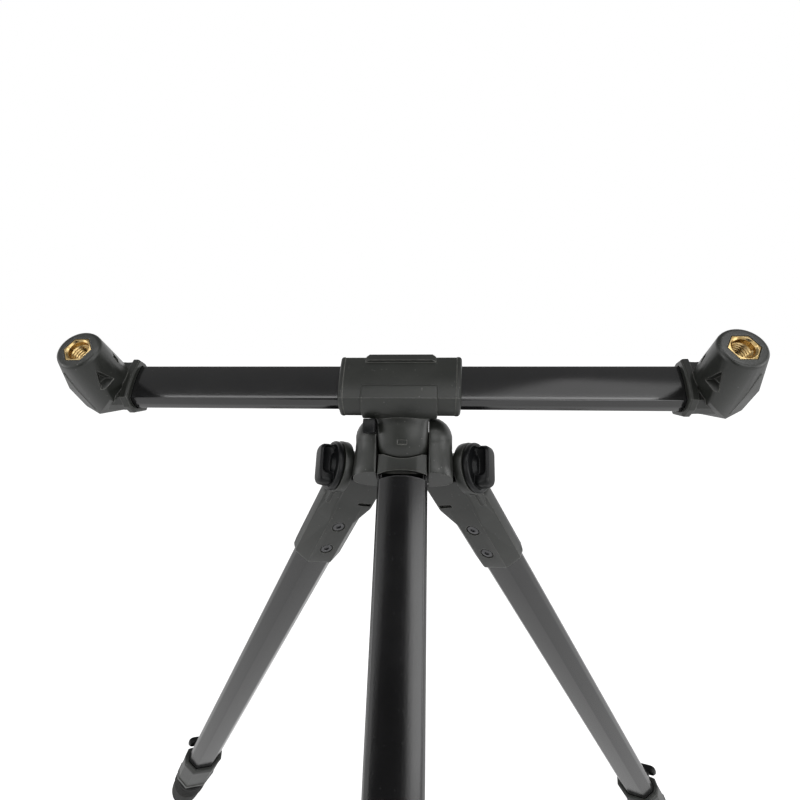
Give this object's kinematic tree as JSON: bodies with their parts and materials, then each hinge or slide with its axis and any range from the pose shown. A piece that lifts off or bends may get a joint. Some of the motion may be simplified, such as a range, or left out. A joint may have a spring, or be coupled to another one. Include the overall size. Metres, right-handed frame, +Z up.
{
  "type": "rod tripod",
  "caption": "Free-standing fishing-rod tripod: a crossbar with angled threaded cups on a tilting head, with folding legs that extend.",
  "frame": {"origin": "centre of the bounding box at floor level", "axes": "+Z up, the crossbar along X, the front leg towards -Y"},
  "size_m": [0.4702, 0.3886, 0.4536],
  "materials": {
    "moulded_plastic": "fine satin, dark green grey",
    "satin_black_tube": "satin black anodised",
    "knob_black": "semi-gloss black",
    "brass": "machined",
    "dark_steel": "dark plated",
    "rubber": "matt black"
  },
  "bodies": {
    "base": {"hub": "moulded_plastic", "head_axle": "dark_steel", "front_bracket": "moulded_plastic", "front_upper_tube": "satin_black_tube", "front_lock_collar": "moulded_plastic", "front_screw_upper": "dark_steel", "front_screw_lower": "dark_steel"},
    "left_leg": {"left_bracket": "moulded_plastic", "left_upper_tube": "satin_black_tube", "left_lock_collar": "moulded_plastic", "left_screw_upper": "dark_steel", "left_screw_lower": "dark_steel"},
    "left_knob": {"left_fold_knob": "knob_black"},
    "right_leg": {"right_bracket": "moulded_plastic", "right_upper_tube": "satin_black_tube", "right_lock_collar": "moulded_plastic", "right_screw_upper": "dark_steel", "right_screw_lower": "dark_steel"},
    "right_knob": {"right_fold_knob": "knob_black"},
    "front_lower": {"front_lower_tube": "satin_black_tube", "front_foot": "rubber"},
    "front_thumb": {"front_thumb_screw": "knob_black"},
    "left_lower": {"left_lower_tube": "satin_black_tube", "left_foot": "rubber"},
    "left_thumb": {"left_thumb_screw": "knob_black"},
    "right_lower": {"right_lower_tube": "satin_black_tube", "right_foot": "rubber"},
    "right_thumb": {"right_thumb_screw": "knob_black"},
    "head": {"head_neck": "moulded_plastic", "clamp_sleeve": "moulded_plastic", "crossbar_tube": "satin_black_tube", "left_end_cap": "moulded_plastic", "right_end_cap": "moulded_plastic", "left_insert": "brass", "right_insert": "brass"},
    "head_lever": {"head_lock_lever": "knob_black"}
  },
  "joints": [
    {"name": "head_tilt", "type": "hinge", "parent": "base", "child": "head", "pos_m": [0, 0.06133, 0.39835], "axis": [-1, 0, 0], "range_deg": [-15, 45]},
    {"name": "head_lock_turn", "type": "hinge", "parent": "head", "child": "head_lever", "pos_m": [0, 0.06133, 0.39835], "axis": [1, 0, 0], "range_deg": [0, 20]},
    {"name": "front_leg_extend", "type": "slide", "parent": "base", "child": "front_lower", "axis": [0, -0.527, -0.8499], "range_m": [0, 0.28]},
    {"name": "front_thumb_turn", "type": "hinge", "parent": "base", "child": "front_thumb", "pos_m": [0, -0.16307, 0.0664], "axis": [0, -0.8499, 0.527], "range_deg": [0, 270]},
    {"name": "left_leg_fold", "type": "hinge", "parent": "base", "child": "left_leg", "pos_m": [-0.0259, 0.06803, 0.37845], "axis": [-0.8272, -0.4776, 0.2961], "range_deg": [0, 50]},
    {"name": "left_knob_turn", "type": "hinge", "parent": "left_leg", "child": "left_knob", "pos_m": [-0.0369, 0.06168, 0.38239], "axis": [-0.8272, -0.4776, 0.2961], "range_deg": [0, 270]},
    {"name": "left_leg_extend", "type": "slide", "parent": "left_leg", "child": "left_lower", "axis": [-0.4564, 0.2635, -0.8499], "range_m": [0, 0.28]},
    {"name": "left_thumb_turn", "type": "hinge", "parent": "left_leg", "child": "left_thumb", "pos_m": [-0.20117, 0.17742, 0.06525], "axis": [-0.3279, 0.8382, 0.4359], "range_deg": [0, 270]},
    {"name": "right_leg_fold", "type": "hinge", "parent": "base", "child": "right_leg", "pos_m": [0.0259, 0.06803, 0.37845], "axis": [-0.8272, 0.4776, -0.2961], "range_deg": [0, 50]},
    {"name": "right_knob_turn", "type": "hinge", "parent": "right_leg", "child": "right_knob", "pos_m": [0.0369, 0.06168, 0.38239], "axis": [0.8272, -0.4776, 0.2961], "range_deg": [0, 270]},
    {"name": "right_leg_extend", "type": "slide", "parent": "right_leg", "child": "right_lower", "axis": [0.4564, 0.2635, -0.8499], "range_m": [0, 0.28]},
    {"name": "right_thumb_turn", "type": "hinge", "parent": "right_leg", "child": "right_thumb", "pos_m": [0.20117, 0.17742, 0.06525], "axis": [0.3279, 0.8382, 0.4359], "range_deg": [0, 270]}
  ]
}
